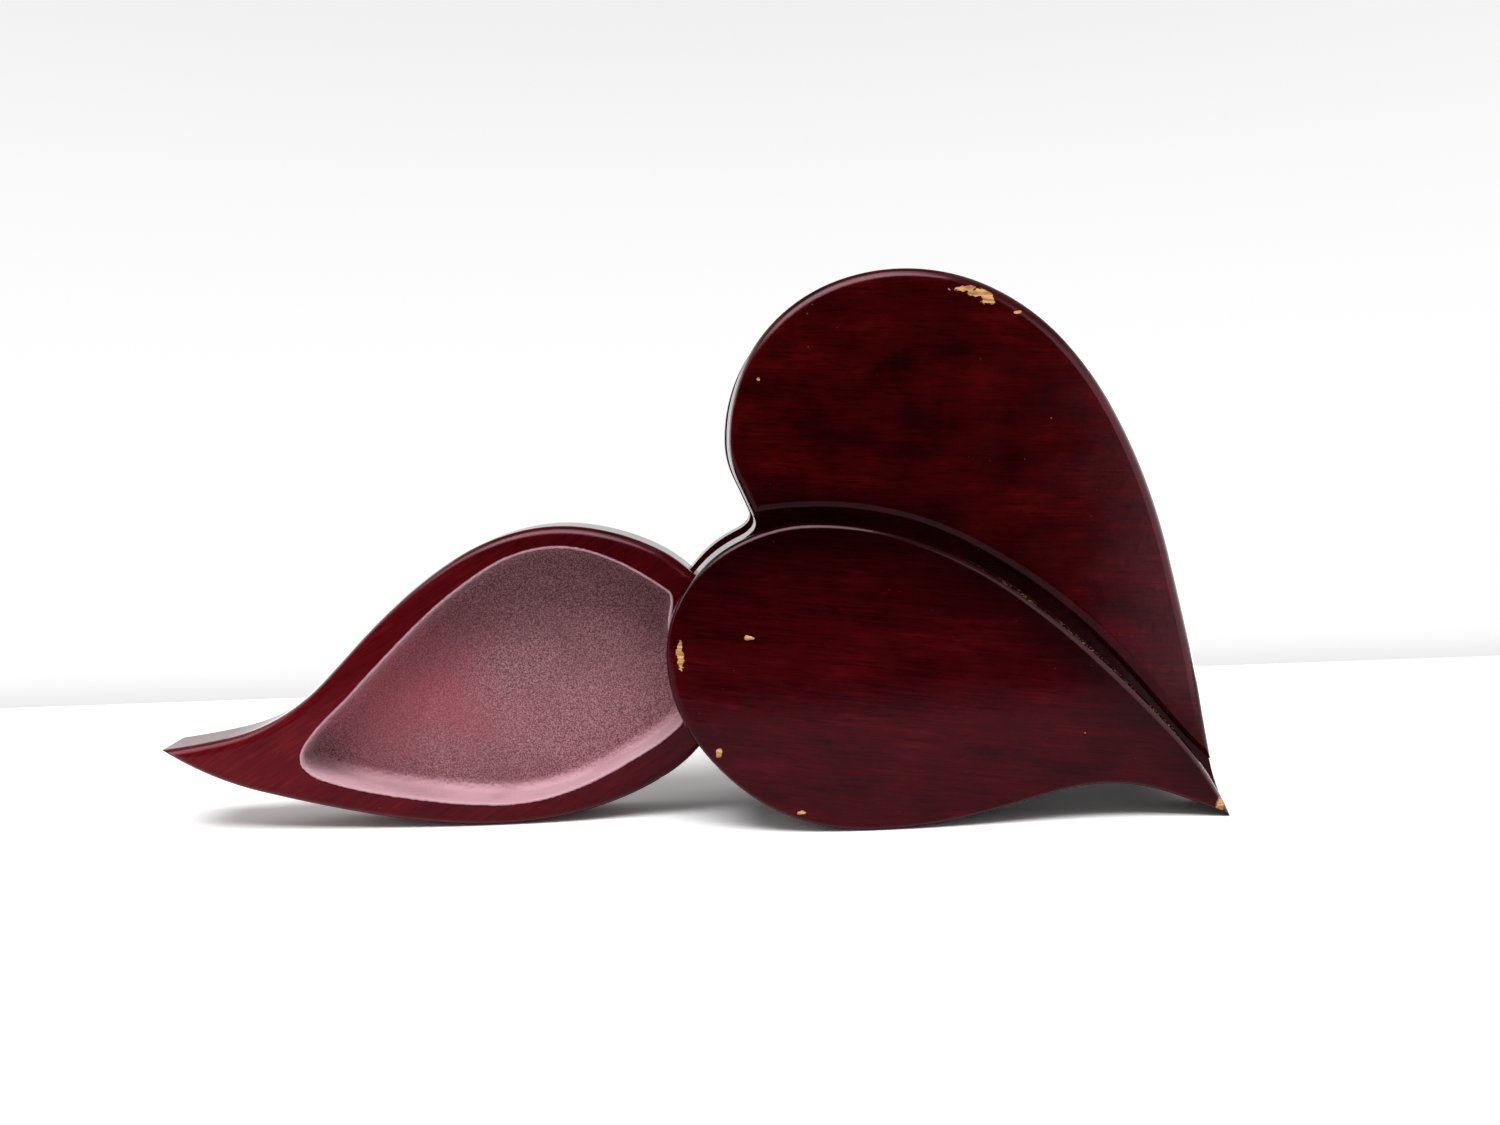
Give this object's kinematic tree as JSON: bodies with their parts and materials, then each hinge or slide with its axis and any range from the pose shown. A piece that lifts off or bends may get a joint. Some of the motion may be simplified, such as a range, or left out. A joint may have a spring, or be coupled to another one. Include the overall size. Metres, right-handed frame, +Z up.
{
  "type": "wind up music box",
  "caption": "Upright heart-shaped lacquered wooden music box with a swing-out flocked trinket tray that stops and starts a spring-driven comb movement wound by a key in its back.",
  "frame": {"origin": "floor under the middle of the box as it stands with its tray open", "axes": "+X to the viewer's right, +Y away from the viewer through the box's depth, +Z up"},
  "size_m": [0.2888, 0.05, 0.1469],
  "materials": {
    "lacquered_wood": "dark mahogany-red wood grain under clear gloss lacquer",
    "flocking": "matt mauve-pink flocking",
    "sound_board": "plain thin board, satin",
    "cast_zinc": null,
    "brass": "satin brass",
    "steel": "bright steel",
    "washer_fibre": "pressed fibre",
    "felt": "wool felt"
  },
  "bodies": {
    "case": {"upper_lobe": "lacquered_wood", "lower_leaf": "lacquered_wood", "front_board": "lacquered_wood", "rear_body": "lacquered_wood", "back_cover": "sound_board", "cover_screws": "steel", "pivot_pin": "steel", "pivot_washers": "washer_fibre", "bedplate": "cast_zinc", "bed_screws": "steel", "comb": "steel", "comb_screws": "steel", "governor_frame": "brass", "governor_screws": "steel", "clutch_spring": "steel"},
    "tray": {"tray": "lacquered_wood", "tray_lining": "flocking"},
    "key": {"winding_arbor": "steel", "winding_key": "brass"},
    "barrel": {"barrel": "brass", "barrel_lid": "brass", "mainspring": "steel"},
    "drum": {"drum": "brass", "drum_arbor": "steel", "drum_pinion": "steel", "drum_wheel": "brass"},
    "second_arbor": {"second_arbor": "steel", "second_pinion": "steel", "worm_wheel": "brass"},
    "worm": {"worm": "steel", "fly": "steel"},
    "stop": {"stop_rod": "steel", "stop_felt": "felt"}
  },
  "joints": [
    {"name": "tray_swing", "type": "hinge", "parent": "case", "child": "tray", "pos_m": [0.00302, 0.0025, 0.05268], "axis": [0, 1, 0], "range_deg": [-148.81, 0]},
    {"name": "key_wind", "type": "hinge", "parent": "case", "child": "key", "pos_m": [0.04487, 0, 0.1075], "axis": [0, 1, 0], "range_deg": [-1800, 0]},
    {"name": "drum_spin", "type": "hinge", "parent": "case", "child": "drum", "pos_m": [0.068, -0.005, 0.1075], "axis": [1, 0, 0], "continuous": true},
    {"name": "barrel_spin", "type": "hinge", "parent": "case", "child": "barrel", "pos_m": [0.04487, 0, 0.1075], "axis": [0, 1, 0], "continuous": true},
    {"name": "second_spin", "type": "hinge", "parent": "case", "child": "second_arbor", "pos_m": [0.08, -0.005, 0.0979], "axis": [1, 0, 0], "continuous": true},
    {"name": "worm_spin", "type": "hinge", "parent": "case", "child": "worm", "pos_m": [0.08067, 0, 0.0935], "axis": [0, 1, 0], "continuous": true},
    {"name": "stop_lift", "type": "slide", "parent": "case", "child": "stop", "axis": [0, 0, 1], "range_m": [0, 0.0015]}
  ],
  "couplings": [
    {"joint": "barrel_spin", "follows": "drum_spin", "ratio": -0.30769},
    {"joint": "second_spin", "follows": "drum_spin", "ratio": -5},
    {"joint": "worm_spin", "follows": "drum_spin", "ratio": 80},
    {"joint": "stop_lift", "follows": "tray_swing", "m_per_rad": -0.00057748}
  ]
}
